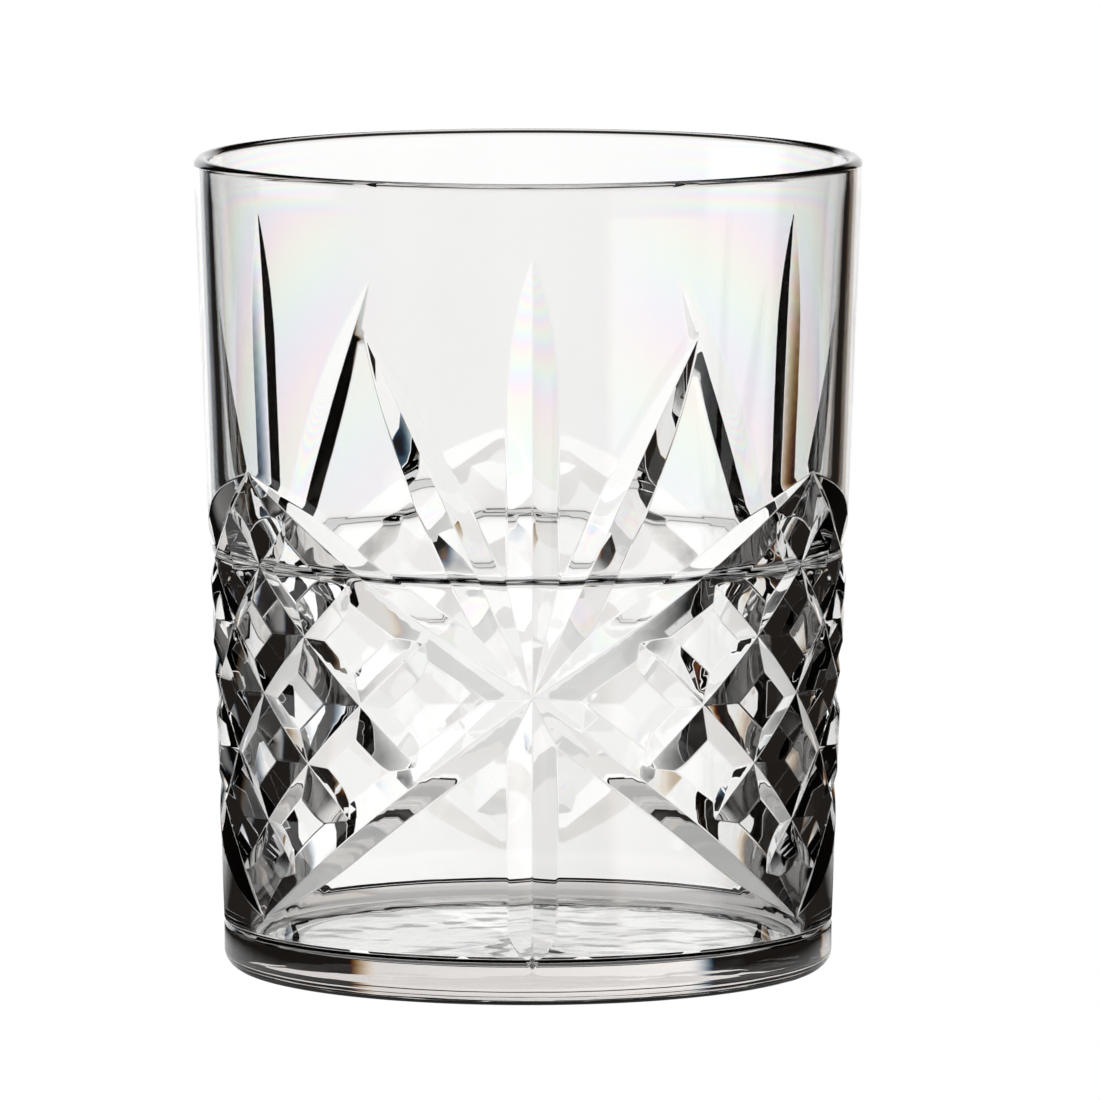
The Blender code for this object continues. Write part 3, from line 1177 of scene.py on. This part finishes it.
    @staticmethod
    def _turned(
        ring: np.ndarray, angles: np.ndarray, profile: np.ndarray, first: int, upwards: bool
    ) -> tuple[np.ndarray, np.ndarray, np.ndarray]:
        """Turn a profile about Z, from a ring of existing vertices to a pole.

        Args:
            ring: Vertex numbers of the ring that the surface starts from.
            angles: Angle of each of its vertices.
            profile: Rows of (x, z, normal x, normal z), the last one on the axis.
            first: Number of the first new vertex.
            upwards: Whether the surface leaves the ring upwards.

        Returns:
            New vertices, their normals, and triangles.
        """
        body = profile[:-1]
        cosine, sine = np.cos(angles), np.sin(angles)
        verts, normals = (
            np.stack([out * cosine, out * sine, up * np.ones_like(angles)], axis=-1).reshape(-1, 3)
            for out, up in ((body[:, :1], body[:, 1:2]), (body[:, 2:3], body[:, 3:4]))
        )
        rows = np.vstack([ring, first + np.arange(len(body) * len(angles)).reshape(len(body), -1)])
        low, high = rows[:-1], rows[1:]
        low_next, high_next = np.roll(low, -1, axis=1), np.roll(high, -1, axis=1)
        tris = np.concatenate([
            np.stack([low, low_next, high_next], axis=-1).reshape(-1, 3),
            np.stack([low, high_next, high], axis=-1).reshape(-1, 3),
        ])
        pole = first + len(verts)
        fan = np.stack([rows[-1], np.roll(rows[-1], -1), np.full_like(rows[-1], pole)], axis=1)
        verts = np.vstack([verts, [[0.0, 0.0, profile[-1, 1]]]])
        normals = np.vstack([normals, [[0.0, 0.0, profile[-1, 3]]]])
        tris = np.concatenate([tris, fan])
        return verts, normals, tris if upwards else tris[:, ::-1]

    def build(self) -> bpy.types.Object:
        """Make the closed body.

        Returns:
            The object, at the origin, with its normals set.
        """
        vert, normal, tri, lower, upper = self._wall()
        for ring, profile, upwards in (
            (upper, self._inside_profile(), True),
            (lower, self._foot_profile(), False),
        ):
            angles = np.arctan2(vert[ring, 1], vert[ring, 0])
            turned = self._turned(ring, angles, profile, len(vert), upwards)
            vert, normal, tri = (np.vstack(pair) for pair in zip((vert, normal, tri), turned))
        used, tri = np.unique(tri, return_inverse=True)
        return mesh_object("tumbler_glass", vert[used], normal[used], tri.reshape(-1, 3))

    def dress(self, piece: bpy.types.Object) -> None:
        """Give the body its glass and tie it to the frame.

        Args:
            piece: The body's object.
        """
        piece.data.materials.append(self.finish.material("clear_glass"))
        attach(piece, BODY)
        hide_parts("tumbler_body")


def mesh_object(
    name: str, verts: np.ndarray, normals: np.ndarray, tris: np.ndarray
) -> bpy.types.Object:
    """Put a triangle mesh with its own vertex normals into the scene.

    Args:
        name: The object's name.
        verts: Vertices, one row each.
        normals: Unit normals, one row each.
        tris: Triangles as vertex numbers, counter-clockwise from outside.

    Returns:
        The new object.
    """
    mesh = bpy.data.meshes.new(name)
    mesh.vertices.add(len(verts))
    mesh.vertices.foreach_set("co", verts.ravel())
    mesh.loops.add(tris.size)
    mesh.loops.foreach_set("vertex_index", tris.ravel())
    mesh.polygons.add(len(tris))
    mesh.polygons.foreach_set("loop_start", np.arange(0, tris.size, 3))
    mesh.polygons.foreach_set("use_smooth", np.ones(len(tris), bool))
    mesh.update(calc_edges=True)
    mesh.validate()
    mesh.normals_split_custom_set_from_vertices(normals.tolist())
    piece = bpy.data.objects.new(name, mesh)
    bpy.context.scene.collection.objects.link(piece)
    return piece


@dataclass
class Studio:
    """Bright-field studio: a pale sweep, white light from a few directions, and darkness between them."""

    floor_rings: Triple = (0.06, 0.5, 12.0)
    floor_sides: int = 96
    floor_drop: float = 0.02 * MM
    camera_distance: float = 1750.0 * MM
    camera_height: float = 250.0 * MM
    camera_yaw: float = -0.79
    aim: Triple = (2.7 * MM, 0.0, 51.37 * MM)
    lens: float = 469.1
    sensor: float = 36.0
    clip: Pair = (0.05, 50.0)
    view_transform: str = "Standard"
    bounces: int = 24
    sweep: PaleSweep = field(default_factory=PaleSweep)
    light: StudioLight = field(default_factory=StudioLight)

    def build(self) -> None:
        """Make the floor, the light all round and the camera, and set how far light is followed."""
        self._floor()
        self._light()
        self._camera()
        scene = bpy.context.scene
        scene.view_settings.view_transform = self.view_transform
        scene.cycles.transmission_bounces = self.bounces
        scene.cycles.max_bounces = self.bounces

    def _floor(self) -> None:
        """Lay a round floor just below height 0: a fan about the axis, and flat rings round it."""
        count = self.floor_sides
        step = np.arange(count)
        following = (step + 1) % count
        turn = 2 * np.pi / count * step
        ring = np.stack([np.cos(turn), np.sin(turn), np.zeros_like(turn)], axis=1)
        verts = np.vstack([np.zeros((1, 3)), *(ring * radius for radius in self.floor_rings)])
        tris = [np.stack([np.zeros(count, int), 1 + step, 1 + following], axis=1)]
        for band in range(len(self.floor_rings) - 1):
            low, high = 1 + band * count, 1 + (band + 1) * count
            tris.append(np.stack([low + step, high + step, high + following], axis=1))
            tris.append(np.stack([low + step, high + following, low + following], axis=1))
        normals = np.tile([0.0, 0.0, 1.0], (len(verts), 1))
        floor = mesh_object("studio_floor", verts, normals, np.concatenate(tris))
        floor.location.z = -self.floor_drop
        floor.data.materials.append(self.sweep.material("pale_sweep"))

    def _light(self) -> None:
        """Light the world in soft-edged windows, nearly dark between them, and plain white to the eye."""
        world = bpy.data.worlds.new("studio")
        world.use_nodes = True
        bpy.context.scene.world = world
        bench = NodeBench(world.node_tree)
        way = bench.coordinates("Generated")
        lit = self.light.colour(bench, way, bench.part(way, "Z"))
        glow = self.light.to_the_eye(bench, lit)
        shade = bench.node("ShaderNodeBackground", {}, {"Color": glow, "Strength": 1.0})
        bench.node("ShaderNodeOutputWorld", {}, {"Surface": shade})

    def _camera(self) -> None:
        """Set up a long lens a little above the rim, aimed at the middle of the tumbler."""
        data = bpy.data.cameras.new("camera")
        data.lens = self.lens
        data.sensor_width = self.sensor
        data.clip_start, data.clip_end = self.clip
        camera = bpy.data.objects.new("camera", data)
        bpy.context.scene.collection.objects.link(camera)
        yaw = math.radians(self.camera_yaw)
        camera.location = (
            self.camera_distance * math.sin(yaw),
            -self.camera_distance * math.cos(yaw),
            self.camera_height,
        )
        way = Vector(self.aim) - camera.location
        camera.rotation_euler = way.to_track_quat("-Z", "Y").to_euler()
        bpy.context.scene.camera = camera


def main() -> None:
    """Build the tumbler and its studio."""
    logging.basicConfig(level=logging.INFO, format="%(message)s")
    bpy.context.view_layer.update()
    body = TumblerBody()
    piece = body.build()
    body.dress(piece)
    LOG.info("%s: %d triangles", piece.name, len(piece.data.polygons))
    Studio().build()
    LOG.info("studio: floor, light and camera")


if __name__ == "__main__":
    main()
